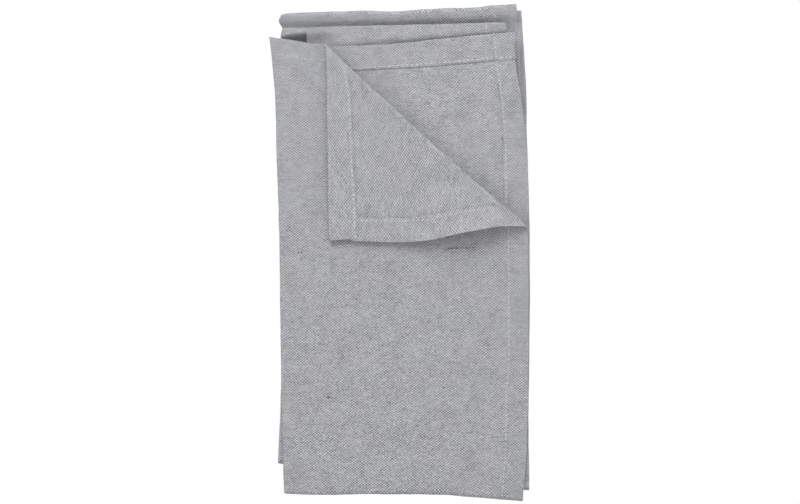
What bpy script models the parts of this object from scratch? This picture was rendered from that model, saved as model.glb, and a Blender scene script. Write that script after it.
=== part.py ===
"""A table runner of linen and cotton cloth, folded into a flat pack.

The runner is one hemmed sheet, 0.40 m by 1.50 m. It is folded in half along its length, wrong sides
together, and then twice across, so the pack has four panels of two plies each. The upper right corner of
the top ply is turned down over the pack. Metres, +Z up, +Y towards the hemmed end of the top panel.

Cloth coordinates: "across" runs from the long fold (0) to each side hem, "along" runs from the hemmed end
of the top panel, through the three cross folds, to the other hemmed end. Ply a is the outer one on top.
"""

import math
from collections import namedtuple

import bmesh
import bpy
from mathutils import Vector

# Cloth, hems and the spaces between the layers
HALF_WIDTH = 0.200
SHEET = 0.0010
HEM_WIDTH = 0.020
HEM_EXTRA = 0.0004
HEM_RAMP = 0.0006
PLY_GAP = 0.0011
PANEL_GAP = 0.0004

# Mesh steps
HAIRPIN_STEPS = 8
FIELD_STEPS = 6
ROW_SPACING = 0.030
TOP_ROW_SPACING = 0.015
NOSE_STEPS = 10

# Heights of the middle of each doubled panel, the pack resting on the plane z = 0
DOUBLED = 2 * SHEET + PLY_GAP
PITCH = DOUBLED + PANEL_GAP
LOWEST_LEVEL = DOUBLED / 2
SECOND_LEVEL = LOWEST_LEVEL + PITCH
THIRD_LEVEL = LOWEST_LEVEL + 2 * PITCH
TOP_LEVEL = LOWEST_LEVEL + 3 * PITCH

# Long fold: a hairpin round which one ply becomes the other
HAIRPIN_RADIUS = (PLY_GAP + SHEET) / 2
HAIRPIN_HALF = math.pi * HAIRPIN_RADIUS / 2
HAIRPIN_CENTRE = HAIRPIN_RADIUS + SHEET / 2
REACH = HAIRPIN_CENTRE + HALF_WIDTH - HAIRPIN_HALF

# Lines across the folded strip, one for each place where its outline turns: the outer edge of the long
# fold (left), the side hem of each ply (a, b), and how far the line bows, greatest at the share bow_at.
Line = namedtuple("Line", "left_x left_y a_x a_y b_x b_y bow bow_at")

TOP_PANEL = [
    Line(-0.1048, 0.1725, 0.0967, 0.1805, 0.0923, 0.1765, -0.0070, 0.22),
    Line(-0.1027, 0.1515, 0.0978, 0.1548, 0.0935, 0.1542, -0.0050, 0.22),
    Line(-0.0999, 0.1225, 0.0994, 0.1249, 0.0983, 0.1217, -0.0020, 0.22),
    Line(-0.0989, 0.0806, 0.1012, 0.0822, 0.1026, 0.0822, 0.0, 0.5),
    Line(-0.0967, 0.0193, 0.1030, 0.0193, 0.1039, 0.0193, 0.0, 0.5),
    Line(-0.0956, -0.0709, 0.1025, -0.0750, 0.1030, -0.0750, 0.0, 0.5),
    Line(-0.0941, -0.1596, 0.1020, -0.1612, 0.1024, -0.1612, 0.0020, 0.5),
]
OUTER_BOTTOM_FOLD = Line(-0.0932, -0.1934, 0.0991, -0.2007, 0.0993, -0.2005, 0.0028, 0.55)
LOWEST_PANEL = [Line(-0.0951, 0.0016, 0.0983, 0.0016, 0.0991, 0.0016, 0.0, 0.5)]
TOP_FOLD = Line(-0.0967, 0.1930, 0.0943, 0.2007, 0.0983, 0.1971, -0.0018, 0.5)
SECOND_PANEL = [
    Line(-0.0963, 0.1169, 0.0991, 0.1169, 0.1016, 0.1169, 0.0, 0.5),
    Line(-0.0959, 0.0177, 0.1032, 0.0177, 0.1048, 0.0177, 0.0, 0.5),
    Line(-0.0961, -0.0991, 0.1040, -0.0991, 0.1045, -0.0991, 0.0, 0.5),
    Line(-0.0975, -0.1475, 0.1028, -0.1523, 0.1034, -0.1523, 0.0, 0.5),
]
INNER_BOTTOM_FOLD = Line(-0.0987, -0.1709, 0.1036, -0.1924, 0.1044, -0.1926, 0.0, 0.5)
THIRD_PANEL = [
    Line(-0.0955, -0.0991, 0.1024, -0.0991, 0.1032, -0.0991, 0.0, 0.5),
    Line(-0.0951, 0.0419, 0.0991, 0.0419, 0.0999, 0.0419, 0.0, 0.5),
]
THIRD_PANEL_END = Line(-0.0959, 0.1809, 0.0862, 0.1846, 0.0854, 0.1854, 0.0, 0.5)

# Cross folds: how far the middle of the doubled strip runs past the end of the flat, as a nose. The outer
# one is soft and long, the two tight ones are round.
OUTER_NOSE = 0.0085
TIGHT_NOSE = PITCH / 2

# Turned corner: the two ends of its crease, the crease's roundness, and how the flap lies on the ply below
CREASE_TOP = Vector((-0.0610, 0.1672))
CREASE_SIDE = Vector((0.1028, 0.0191))
CREASE_RADIUS = 0.0022
CREASE_STEPS = 8
FLAP_REST = 0.0018
FLAP_SETTLE = 0.012
LIFT_PLACE = Vector((0.060, 0.008))
LIFT_HEIGHT = 0.0125
LIFT_LENGTH = 0.036
LIFT_DEPTH = 0.022

# Uneven loft: places where the layers lie looser (a share more height) or closer (less) than elsewhere
Swell = namedtuple("Swell", "x y reach_x reach_y share")
SWELLS = [
    Swell(-0.085, -0.030, 0.030, 0.130, 0.05),
    Swell(0.000, -0.175, 0.090, 0.035, 0.05),
    Swell(0.015, -0.060, 0.055, 0.080, -0.06),
    Swell(0.095, -0.100, 0.022, 0.090, 0.04),
    Swell(-0.070, 0.150, 0.040, 0.040, -0.04),
    Swell(0.040, 0.165, 0.060, 0.025, 0.03),
]

# One row of the cloth's grid: its line, its height, the direction towards ply a, and whether it lies in an
# end hem
Row = namedtuple("Row", "line height normal_y normal_z in_hem")


def clear_scene():
    for found in list(bpy.data.objects):
        bpy.data.objects.remove(found, do_unlink=True)


def smooth(x):
    """Rises from 0 to 1 with level ends."""
    x = min(max(x, 0.0), 1.0)
    return x * x * (3 - 2 * x)


def moved(line, shift):
    """The line shifted along Y."""
    return line._replace(left_y=line.left_y + shift, a_y=line.a_y + shift, b_y=line.b_y + shift)


def bowed(line, share):
    """How far the line bows off straight at this share of its length."""
    if share < line.bow_at:
        return line.bow * smooth(share / line.bow_at)
    return line.bow * (1 - share) / (1 - line.bow_at)


def line_places(lines):
    """How far along its panel each line lies."""
    places = [0.0]
    for first, second in zip(lines, lines[1:]):
        places.append(places[-1] + abs(second.left_y + second.a_y - first.left_y - first.a_y) / 2)
    return places


def line_at(lines, places, place):
    """The line at this place, each of its values on a smooth curve through the panel's own lines."""
    last = len(lines) - 1
    k = max(i for i in range(last) if places[i] <= place + 1e-9)
    before, after = max(k - 1, 0), min(k + 2, last)
    long = places[k + 1] - places[k]
    share = (place - places[k]) / long
    values = []
    for p, q, r, s in zip(lines[before], lines[k], lines[k + 1], lines[after]):
        slope_q = (r - p) / (places[k + 1] - places[before]) * long
        slope_r = (s - q) / (places[after] - places[k]) * long
        rise = smooth(share)
        ends = share * (1 - share) ** 2 * slope_q - share**2 * (1 - share) * slope_r
        values.append(q + (r - q) * rise + ends)
    return Line(*values)


def panel_rows(lines, height, normal_z, spacing, hem_at=None):
    """The flat rows of one panel, through its lines. hem_at is 0 or 1 if its first or last line is hemmed."""
    places = line_places(lines)
    total = places[-1]
    wanted = {total}
    for start, end in zip(places, places[1:]):
        steps = max(1, round((end - start) / spacing))
        wanted |= {start + (end - start) * k / steps for k in range(steps)}
    if hem_at is not None:
        edge = hem_at * total
        wanted = {p for p in wanted if abs(abs(p - edge) - HEM_WIDTH) > spacing / 4}
        wanted |= {abs(edge - HEM_WIDTH), abs(edge - HEM_WIDTH - HEM_RAMP)}
    rows = []
    for place in sorted(wanted):
        in_hem = hem_at is not None and abs(place - edge) <= HEM_WIDTH + 1e-9
        rows.append(Row(line_at(lines, places, place), height, 0.0, normal_z, in_hem))
    return rows


def nose_rows(line, outward, nose, height_0, height_1, a_outside):
    """The rows round one cross fold, a half ellipse from one height to the other."""
    middle = (height_0 + height_1) / 2
    half = (height_1 - height_0) / 2
    tip = nose + DOUBLED / 2
    rows = []
    for k in range(1, NOSE_STEPS):
        angle = math.pi * (k / NOSE_STEPS - 0.5)
        normal = Vector((math.cos(angle) / nose, math.sin(angle) / half)).normalized()
        if not a_outside:
            normal = -normal
        place = moved(line, outward * (nose * math.cos(angle) - tip))
        rows.append(Row(place, middle + half * math.sin(angle), outward * normal.x, normal.y, False))
    return rows


def serpentine():
    """All rows, from the hemmed end of the top panel to the other hemmed end."""
    outer_foot = moved(OUTER_BOTTOM_FOLD, OUTER_NOSE + DOUBLED / 2)
    top_foot = moved(TOP_FOLD, -TIGHT_NOSE - DOUBLED / 2)
    inner_foot = moved(INNER_BOTTOM_FOLD, TIGHT_NOSE + DOUBLED / 2)
    return [
        *panel_rows([*TOP_PANEL, outer_foot], TOP_LEVEL, 1.0, TOP_ROW_SPACING, hem_at=0),
        *nose_rows(OUTER_BOTTOM_FOLD, -1, OUTER_NOSE, TOP_LEVEL, LOWEST_LEVEL, a_outside=True),
        *panel_rows([outer_foot, *LOWEST_PANEL, top_foot], LOWEST_LEVEL, -1.0, ROW_SPACING),
        *nose_rows(TOP_FOLD, 1, TIGHT_NOSE, LOWEST_LEVEL, SECOND_LEVEL, a_outside=True),
        *panel_rows([top_foot, *SECOND_PANEL, inner_foot], SECOND_LEVEL, 1.0, ROW_SPACING),
        *nose_rows(INNER_BOTTOM_FOLD, -1, TIGHT_NOSE, SECOND_LEVEL, THIRD_LEVEL, a_outside=False),
        *panel_rows([inner_foot, *THIRD_PANEL, THIRD_PANEL_END], THIRD_LEVEL, -1.0, ROW_SPACING, hem_at=1),
    ]


def columns():
    """Places across the cloth, from ply a's side hem (negative) round the long fold to ply b's."""
    hem_inside = HALF_WIDTH - HEM_WIDTH
    half = [HAIRPIN_HALF * k / (HAIRPIN_STEPS / 2) for k in range(1, HAIRPIN_STEPS // 2 + 1)]
    field_end = hem_inside - HEM_RAMP
    half += [HAIRPIN_HALF + (field_end - HAIRPIN_HALF) * k / FIELD_STEPS for k in range(1, FIELD_STEPS + 1)]
    half += [hem_inside, HALF_WIDTH]
    return [-place for place in reversed(half)] + [0.0] + half


def cloth_point(row, across, off):
    """A point of the cloth: off is its distance from the sheet's middle, positive on the face side."""
    radius = HAIRPIN_RADIUS + off
    if abs(across) >= HAIRPIN_HALF:
        reach = HAIRPIN_CENTRE + abs(across) - HAIRPIN_HALF
        height = math.copysign(radius, -across)
    else:
        turn = across / HAIRPIN_RADIUS
        reach = HAIRPIN_CENTRE - radius * math.cos(turn)
        height = -radius * math.sin(turn)
    share = reach / REACH
    line = row.line
    right_x, right_y = (line.a_x, line.a_y) if across < 0 else (line.b_x, line.b_y)
    x = line.left_x + (right_x - line.left_x) * share
    y = line.left_y + (right_y - line.left_y) * share + bowed(line, share)
    return Vector((x, y + height * row.normal_y, row.height + height * row.normal_z))


def sheet_mesh(rows, places):
    """The whole hemmed sheet as one closed body, folded but with its corner still flat."""
    bm = bmesh.new()
    grids = []
    for face_side in (True, False):
        grid = []
        for row in rows:
            made = []
            for across in places:
                in_hem = row.in_hem or abs(across) >= HALF_WIDTH - HEM_WIDTH - 1e-9
                off = SHEET / 2 if face_side else -SHEET / 2 - (HEM_EXTRA if in_hem else 0.0)
                made.append(bm.verts.new(cloth_point(row, across, off)))
            grid.append(made)
        grids.append(grid)
    face, wrong = grids
    last_row, last_column = len(rows) - 1, len(places) - 1
    for grid in grids:
        for i in range(last_row):
            for j in range(last_column):
                bm.faces.new((grid[i][j], grid[i][j + 1], grid[i + 1][j + 1], grid[i + 1][j]))
    for i in range(last_row):
        for j in (0, last_column):
            bm.faces.new((face[i][j], face[i + 1][j], wrong[i + 1][j], wrong[i][j]))
    for j in range(last_column):
        for i in (0, last_row):
            bm.faces.new((face[i][j], face[i][j + 1], wrong[i][j + 1], wrong[i][j]))
    return bm


def flap_height(place, from_crease):
    """Height of the flap's middle over the middle of the ply that it lies on."""
    rest = SHEET + FLAP_REST
    crease = (2 * CREASE_RADIUS - rest) * math.exp(-from_crease / FLAP_SETTLE)
    off = place - LIFT_PLACE
    lift = LIFT_HEIGHT * math.exp(-((off.x / LIFT_LENGTH) ** 2) - (off.y / LIFT_DEPTH) ** 2)
    return rest + crease + lift * smooth(from_crease / FLAP_SETTLE)


def turn_corner_down(bm):
    """Creases the top ply along its diagonal and lays the corner back over it, wrong side up."""
    along = (CREASE_SIDE - CREASE_TOP).normalized()
    beyond = Vector((-along.y, along.x))
    start = CREASE_TOP - beyond * (CREASE_RADIUS + SHEET / 2)
    middle = TOP_LEVEL + HAIRPIN_RADIUS
    lowest = middle - SHEET / 2 - HEM_EXTRA - PLY_GAP / 8
    bend = math.pi * CREASE_RADIUS
    for k in range(CREASE_STEPS + 1):
        verts = [v for v in bm.verts if v.co.z > lowest]
        faces = {f for v in verts for f in v.link_faces if all(c.co.z > lowest for c in f.verts)}
        edges = {e for f in faces for e in f.edges}
        cut = start + beyond * (bend * k / CREASE_STEPS)
        bmesh.ops.bisect_plane(
            bm,
            geom=[*verts, *edges, *faces],
            dist=1e-7,
            plane_co=(cut.x, cut.y, 0.0),
            plane_no=(beyond.x, beyond.y, 0.0),
        )
    for v in bm.verts:
        flat = Vector((v.co.x, v.co.y))
        past = (flat - start).dot(beyond)
        if v.co.z <= lowest or past <= 0:
            continue
        off = v.co.z - middle
        foot = flat - beyond * past
        if past < bend:
            turn = past / CREASE_RADIUS
            place = foot + beyond * (CREASE_RADIUS - off) * math.sin(turn)
            height = middle + CREASE_RADIUS - (CREASE_RADIUS - off) * math.cos(turn)
        else:
            back = past - bend
            place = foot - beyond * back
            height = middle + flap_height(place, back) - off
        v.co = (place.x, place.y, height)


def loosen(bm):
    """Scales each height by the loft there, so that the underside stays flat and no two layers meet."""
    for v in bm.verts:
        loft = 1.0
        for s in SWELLS:
            off_x, off_y = (v.co.x - s.x) / s.reach_x, (v.co.y - s.y) / s.reach_y
            loft += s.share * math.exp(-(off_x**2) - off_y**2)
        v.co.z *= loft


def cloth_material():
    """Grey mixed linen and cotton in a 2/2 basket weave."""
    material = bpy.data.materials.new("linen_cloth")
    material.use_nodes = True
    shader = material.node_tree.nodes["Principled BSDF"]
    shader.inputs["Base Color"].default_value = (0.37, 0.38, 0.40, 1.0)
    shader.inputs["Roughness"].default_value = 0.9
    shader.inputs["Metallic"].default_value = 0.0
    return material


def table_runner():
    bm = sheet_mesh(serpentine(), columns())
    turn_corner_down(bm)
    loosen(bm)
    bmesh.ops.triangulate(bm, faces=bm.faces)
    bmesh.ops.recalc_face_normals(bm, faces=bm.faces)
    mesh = bpy.data.meshes.new("table_runner")
    bm.to_mesh(mesh)
    bm.free()
    mesh.shade_smooth()
    mesh.set_sharp_from_angle(angle=math.radians(40))
    mesh.materials.append(cloth_material())
    runner = bpy.data.objects.new("table_runner", mesh)
    bpy.context.scene.collection.objects.link(runner)


clear_scene()
table_runner()
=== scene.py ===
"""A folded table runner of grey linen and cotton, dressed on the frame of its solid model.

Metres, +Z up, +Y towards the hemmed end of the top panel. Cloth coordinates: "across" runs from the long
fold (0) to the side hem of ply a (negative) or of ply b (positive), and "along" runs from the hemmed end of
the top panel, through the three cross folds, to the other hemmed end.
"""

import math
from collections import namedtuple

import bmesh
import bpy
from mathutils import Euler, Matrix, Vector, noise
from mathutils.bvhtree import BVHTree


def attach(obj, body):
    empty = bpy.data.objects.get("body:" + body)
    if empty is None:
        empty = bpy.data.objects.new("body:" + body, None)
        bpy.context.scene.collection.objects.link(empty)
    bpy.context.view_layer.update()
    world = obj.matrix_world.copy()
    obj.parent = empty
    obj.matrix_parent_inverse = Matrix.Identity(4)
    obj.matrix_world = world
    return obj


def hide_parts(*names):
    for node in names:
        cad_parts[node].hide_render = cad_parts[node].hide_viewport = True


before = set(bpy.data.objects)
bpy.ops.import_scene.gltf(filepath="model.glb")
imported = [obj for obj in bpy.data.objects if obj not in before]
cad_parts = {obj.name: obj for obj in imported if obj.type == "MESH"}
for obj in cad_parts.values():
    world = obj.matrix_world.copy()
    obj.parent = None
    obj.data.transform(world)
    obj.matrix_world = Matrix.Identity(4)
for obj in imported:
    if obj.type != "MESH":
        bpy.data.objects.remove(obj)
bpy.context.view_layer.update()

# Folded cloth
# One cut length of grey melange linen and cotton in a 2/2 basket weave, hemmed on all four sides. It is
# folded in half along its length, wrong sides together, then twice across, and the upper right corner of
# the top ply is turned down over the pack. The hems are turned to the wrong side.
HALF_WIDTH = 0.200
HALF_SHEET = 0.00038
HEM_WIDTH = 0.020
HEM_DEPTH = 0.00062
CORNER_DEPTH = 0.00055
CORNER_SOFTNESS = 0.0040
HEM_EDGE = 0.0003
GROOVE_DEPTH = 0.00052
GROOVE_PLACE = 0.0206
GROOVE_REACH = 0.0006
STITCH_INSET = 0.0180
STITCH_PULL = 0.00012
STITCH_REACH = 0.0010
RIM = 0.0006
RIM_SHARE = 0.3

# Width of the hems where they were turned by hand: along the cloth for each ply's side hem, and across it
# for the end hem. Each hem strays a little more on a lane of its own in the noise.
SIDE_HEM_A = [
    (0.000, 0.0182),
    (0.088, 0.0185),
    (0.105, 0.0184),
    (0.119, 0.0179),
    (0.150, 0.0172),
    (0.260, 0.0178),
    (0.300, 0.0196),
    (0.360, 0.0193),
    (0.740, 0.0212),
    (0.900, 0.0205),
]
SIDE_HEM_B = [(0.000, 0.0180), (0.034, 0.0168), (0.078, 0.0181), (0.105, 0.0195), (0.400, 0.0200)]
END_HEM = [
    (-0.200, 0.0212),
    (-0.090, 0.0208),
    (-0.045, 0.0166),
    (0.010, 0.0166),
    (0.060, 0.0226),
    (0.200, 0.0224),
]
HEM_WANDER = 0.0007
HEM_WANDER_LENGTH = 0.045
SIDE_A_LANE = (2.5, 0.4)
SIDE_B_LANE = (7.5, 0.4)
END_LANE = (4.5, 0.9)
HEM_FADE = 0.030

# Heights of the doubled panels, each ply PLY_REACH from its middle
PLY_REACH = 0.00105
PITCH = 0.0035
LOWEST_LEVEL = PLY_REACH + HALF_SHEET
SECOND_LEVEL = LOWEST_LEVEL + PITCH
THIRD_LEVEL = SECOND_LEVEL + PITCH
TOP_LEVEL = THIRD_LEVEL + PITCH

# Long fold, a hairpin round which one ply becomes the other
HAIRPIN_HALF = math.pi * PLY_REACH / 2
HAIRPIN_CENTRE = PLY_REACH + HALF_SHEET
REACH = HAIRPIN_CENTRE + HALF_WIDTH - HAIRPIN_HALF

# Lines across the folded strip, one for each place where its outline turns: the outer edge of the long
# fold (left), the side hem of each ply (a, b), and how far the line bows, greatest at the share bow_at.
Line = namedtuple("Line", "left_x left_y a_x a_y b_x b_y bow bow_at")

TOP_PANEL = [
    Line(-0.1052, 0.1725, 0.0967, 0.1805, 0.0923, 0.1775, -0.0070, 0.22),
    Line(-0.1033, 0.1515, 0.0978, 0.1548, 0.0935, 0.1542, -0.0050, 0.22),
    Line(-0.1006, 0.1225, 0.0994, 0.1249, 0.0983, 0.1217, -0.0020, 0.22),
    Line(-0.0996, 0.0806, 0.1012, 0.0822, 0.1026, 0.0822, 0.0, 0.5),
    Line(-0.0975, 0.0193, 0.1030, 0.0193, 0.1039, 0.0193, 0.0, 0.5),
    Line(-0.0963, -0.0709, 0.1035, -0.0750, 0.1040, -0.0750, 0.0, 0.5),
    Line(-0.0947, -0.1596, 0.1020, -0.1612, 0.1024, -0.1612, 0.0020, 0.5),
]
OUTER_BOTTOM_FOLD = Line(-0.0936, -0.1951, 0.0993, -0.2013, 0.0995, -0.2011, 0.0032, 0.68)
LOWEST_PANEL = [
    Line(-0.0951, 0.0016, 0.0983, 0.0016, 0.0991, 0.0016, 0.0, 0.5),
    Line(-0.0960, 0.1169, 0.0982, 0.1169, 0.1029, 0.1169, 0.0, 0.5),
    Line(-0.0964, 0.1560, 0.0962, 0.1560, 0.1008, 0.1560, 0.0, 0.5),
]
TOP_FOLD = Line(-0.0967, 0.1930, 0.0943, 0.2007, 0.0983, 0.1971, 0.0, 0.5)
SECOND_PANEL = [
    Line(-0.0965, 0.1560, 0.0968, 0.1560, 0.1005, 0.1560, 0.0, 0.5),
    Line(-0.0963, 0.1169, 0.0989, 0.1169, 0.1019, 0.1169, 0.0, 0.5),
    Line(-0.0959, 0.0177, 0.1032, 0.0177, 0.1048, 0.0177, 0.0, 0.5),
    Line(-0.0961, -0.0991, 0.1040, -0.0991, 0.1045, -0.0991, 0.0, 0.5),
    Line(-0.0975, -0.1475, 0.1028, -0.1523, 0.1034, -0.1523, 0.0, 0.5),
]
INNER_BOTTOM_FOLD = Line(-0.0987, -0.1709, 0.1036, -0.1924, 0.1044, -0.1926, 0.0, 0.5)
THIRD_PANEL = [
    Line(-0.0955, -0.0991, 0.1024, -0.0991, 0.1032, -0.0991, 0.0, 0.5),
    Line(-0.0951, 0.0419, 0.0991, 0.0419, 0.0999, 0.0419, 0.0, 0.5),
]
THIRD_PANEL_END = Line(-0.0959, 0.1809, 0.0862, 0.1846, 0.0854, 0.1854, 0.0, 0.5)

# Cross folds: how far the middle of the doubled strip runs past the end of the flat
OUTER_NOSE = 0.0056
OUTER_POWER = 6.0
TIGHT_NOSE = PITCH / 2
NOSE_STEPS = 18

# Grid steps, fine where the cloth shows. The stops are distances from the cloth's edge: at its rim and its
# hems, beside ply b's crease, and where ply a steps down past the third panel's end.
TOP_SPACING = 0.0034
HIDDEN_SPACING = 0.0100
END_SPACING = 0.0020
END_REACH = 0.034
PLY_A_SPACING = 0.0038
PLY_B_SPACING = 0.0050
HAIRPIN_STEPS = 5
STOP_ROOM = 0.4
RIM_STOPS = [0.0, 0.00008, 0.00025, 0.0006, 0.0014, 0.0025, 0.0040]
HEM_STOPS = [0.0162, 0.0172, 0.0180, 0.0188, 0.01965, 0.01985, 0.02015, 0.0204, 0.0208, 0.0215]
EDGE_STOPS = RIM_STOPS + HEM_STOPS
CREASE_STOPS = [0.0200, 0.0212, 0.0219, 0.0225, 0.0231, 0.0243]
STEP_STOPS = [0.0065, 0.0082, 0.0095, 0.0105, 0.0150]

# One row of the grid: its line, its height, the direction towards ply a, and how far along the cloth it is
Row = namedtuple("Row", "line height normal_y normal_z along")


def smooth(x):
    """Rises from 0 to 1 with level ends."""
    x = min(max(x, 0.0), 1.0)
    return x * x * (3 - 2 * x)


def bump_at(x, place, reach):
    """A soft bump, 1 at its place and near 0 at twice its reach."""
    return math.exp(-(((x - place) / reach) ** 2))


def moved(line, shift):
    """The line shifted along Y."""
    return line._replace(left_y=line.left_y + shift, a_y=line.a_y + shift, b_y=line.b_y + shift)


def bowed(line, share):
    """How far the line bows off straight at this share of its length."""
    if share < line.bow_at:
        return line.bow * smooth(share / line.bow_at)
    return line.bow * (1 - share) / (1 - line.bow_at)


def line_places(lines):
    """How far along its panel each line lies."""
    places = [0.0]
    for first, second in zip(lines, lines[1:]):
        places.append(places[-1] + abs(second.left_y + second.a_y - first.left_y - first.a_y) / 2)
    return places


def line_at(lines, places, place):
    """The line at this place, each of its values on a smooth curve through the panel's own lines."""
    last = len(lines) - 1
    k = max(i for i in range(last) if places[i] <= place + 1e-9)
    before, after = max(k - 1, 0), min(k + 2, last)
    long = places[k + 1] - places[k]
    share = (place - places[k]) / long
    values = []
    for p, q, r, s in zip(lines[before], lines[k], lines[k + 1], lines[after]):
        slope_q = (r - p) / (places[k + 1] - places[before]) * long
        slope_r = (s - q) / (places[after] - places[k]) * long
        ends = share * (1 - share) ** 2 * slope_q - share**2 * (1 - share) * slope_r
        values.append(q + (r - q) * smooth(share) + ends)
    return Line(*values)


def spread(start, end, spacing, stops=()):
    """Places from start to end at about this spacing, with the stops among them and room around each."""
    stops = sorted(s for s in stops if start <= s <= end)
    count = max(1, round((end - start) / spacing))
    even = [start + (end - start) * k / count for k in range(count + 1)]
    clear = [p for p in even if all(abs(p - s) > spacing * STOP_ROOM for s in stops)]
    return sorted({start, end, *clear, *stops})


def panel_rows(lines, height, normal_z, spacing, along, fine=None, hemmed=None):
    """The flat rows of one panel. fine and hemmed are 0 at its first line or 1 at its last."""
    places = line_places(lines)
    total = places[-1]
    stops = []
    if hemmed is not None:
        stops += [abs(hemmed * total - s) for s in EDGE_STOPS]
    if fine is not None:
        from_end = spread(0.0, END_REACH, END_SPACING, EDGE_STOPS if hemmed is not None else ())
        stops += [abs(fine * total - s) for s in from_end]
    rows = []
    for place in spread(0.0, total, spacing, stops):
        rows.append(Row(line_at(lines, places, place), height, 0.0, normal_z, along + place))
    return rows


def nose_rows(line, outward, nose, height_0, height_1, a_outside, along, power=2.0):
    """The rows round a cross fold, from one height to the other: an ellipse, or squarer with more power."""
    middle = (height_0 + height_1) / 2
    half = (height_1 - height_0) / 2
    tip = nose + PLY_REACH + HALF_SHEET
    rows = []
    before = Vector((0.0, -half))
    for k in range(1, NOSE_STEPS):
        angle = math.pi * (k / NOSE_STEPS - 0.5)
        out = math.cos(angle) ** (2 / power)
        up = math.copysign(abs(math.sin(angle)) ** (2 / power), math.sin(angle))
        steep = math.copysign(abs(up) ** (power - 1), up)
        normal = Vector((out ** (power - 1) / nose, steep / half)).normalized()
        if not a_outside:
            normal = -normal
        here = Vector((nose * out, half * up))
        along += (here - before).length
        before = here
        place = moved(line, outward * (here.x - tip))
        rows.append(Row(place, middle + here.y, outward * normal.x, normal.y, along))
    return rows, along + (Vector((0.0, half)) - before).length


def serpentine():
    """All rows, from the hemmed end of the top panel to the other hemmed end."""
    outer_foot = moved(OUTER_BOTTOM_FOLD, OUTER_NOSE + PLY_REACH + HALF_SHEET)
    top_foot = moved(TOP_FOLD, -TIGHT_NOSE - PLY_REACH - HALF_SHEET)
    inner_foot = moved(INNER_BOTTOM_FOLD, TIGHT_NOSE + PLY_REACH + HALF_SHEET)
    rows = panel_rows([*TOP_PANEL, outer_foot], TOP_LEVEL, 1.0, TOP_SPACING, 0.0, hemmed=0)
    nose, along = nose_rows(
        OUTER_BOTTOM_FOLD,
        -1,
        OUTER_NOSE,
        TOP_LEVEL,
        LOWEST_LEVEL,
        True,
        rows[-1].along,
        OUTER_POWER,
    )
    rows += nose
    rows += panel_rows(
        [outer_foot, *LOWEST_PANEL, top_foot], LOWEST_LEVEL, -1.0, HIDDEN_SPACING, along, fine=1
    )
    nose, along = nose_rows(TOP_FOLD, 1, TIGHT_NOSE, LOWEST_LEVEL, SECOND_LEVEL, True, rows[-1].along)
    rows += nose
    rows += panel_rows(
        [top_foot, *SECOND_PANEL, inner_foot], SECOND_LEVEL, 1.0, HIDDEN_SPACING, along, fine=0
    )
    nose, along = nose_rows(
        INNER_BOTTOM_FOLD, -1, TIGHT_NOSE, SECOND_LEVEL, THIRD_LEVEL, False, rows[-1].along
    )
    rows += nose
    third = [inner_foot, *THIRD_PANEL, THIRD_PANEL_END]
    rows += panel_rows(third, THIRD_LEVEL, -1.0, HIDDEN_SPACING, along, fine=1, hemmed=1)
    return rows


def columns():
    """Places across the cloth, from ply a's side hem (negative) round the long fold to ply b's."""
    edge = [HALF_WIDTH - s for s in EDGE_STOPS]
    steps = [HALF_WIDTH - s for s in STEP_STOPS]
    ply_a = spread(HAIRPIN_HALF, HALF_WIDTH, PLY_A_SPACING, edge + steps)
    ply_b = spread(HAIRPIN_HALF, HALF_WIDTH, PLY_B_SPACING, edge + CREASE_STOPS)
    turn = [HAIRPIN_HALF * k / HAIRPIN_STEPS for k in range(1 - HAIRPIN_STEPS, HAIRPIN_STEPS)]
    return [-place for place in reversed(ply_a)] + turn + ply_b


def edge_round(distance):
    """How much of the thickness is left at this distance from the cloth's edge."""
    depth = 1 - min(distance / RIM, 1.0)
    return RIM_SHARE + (1 - RIM_SHARE) * math.sqrt(1 - depth * depth)


def faces_off(across, along, cloth_length):
    """How far the face and the wrong side lie from the sheet's middle: hems, stitch lines and edges."""
    to_side = HALF_WIDTH - abs(across)
    to_end = min(along, cloth_length - along)
    side_hem = 1 - smooth((to_side - HEM_WIDTH) / HEM_EDGE + 0.5)
    end_hem = 1 - smooth((to_end - HEM_WIDTH) / HEM_EDGE + 0.5)
    pull = max(bump_at(to_side, STITCH_INSET, STITCH_REACH), bump_at(to_end, STITCH_INSET, STITCH_REACH))
    groove = max(
        bump_at(to_side, GROOVE_PLACE, GROOVE_REACH) * (1 - end_hem),
        bump_at(to_end, GROOVE_PLACE, GROOVE_REACH),
    )
    wrong = HALF_SHEET + HEM_DEPTH * max(side_hem, end_hem) - GROOVE_DEPTH * groove - STITCH_PULL * pull
    if along < cloth_length / 2:
        under = 1 - smooth((to_side - HEM_WIDTH) / CORNER_SOFTNESS + 0.5)
        wrong += CORNER_DEPTH * under * end_hem
    face = HALF_SHEET - STITCH_PULL / 2 * pull
    middle = (face - wrong) / 2
    left = min(edge_round(to_side), edge_round(to_end))
    return middle + (face - middle) * left, middle - (wrong + middle) * left


def hem_width(table, place):
    """The width of a hem at this place along it, on a smooth curve through its table."""
    for (start, width), (end, next_width) in zip(table, table[1:]):
        if place < end:
            return width + (next_width - width) * smooth((place - start) / (end - start))
    return table[-1][1]


def drawn(to_edge, width):
    """A distance from the cloth's edge, stretched so that a hem of the usual width has this one."""
    if to_edge < HEM_WIDTH:
        return to_edge * width / HEM_WIDTH
    return to_edge + (width - HEM_WIDTH) * (1 - smooth((to_edge - HEM_WIDTH) / HEM_FADE))


def strayed_width(table, lane, place):
    """The width of a hem at this place along it, with the little that it strays."""
    return hem_width(table, place) + HEM_WANDER * noise.noise(Vector((place / HEM_WANDER_LENGTH, *lane)))


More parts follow.
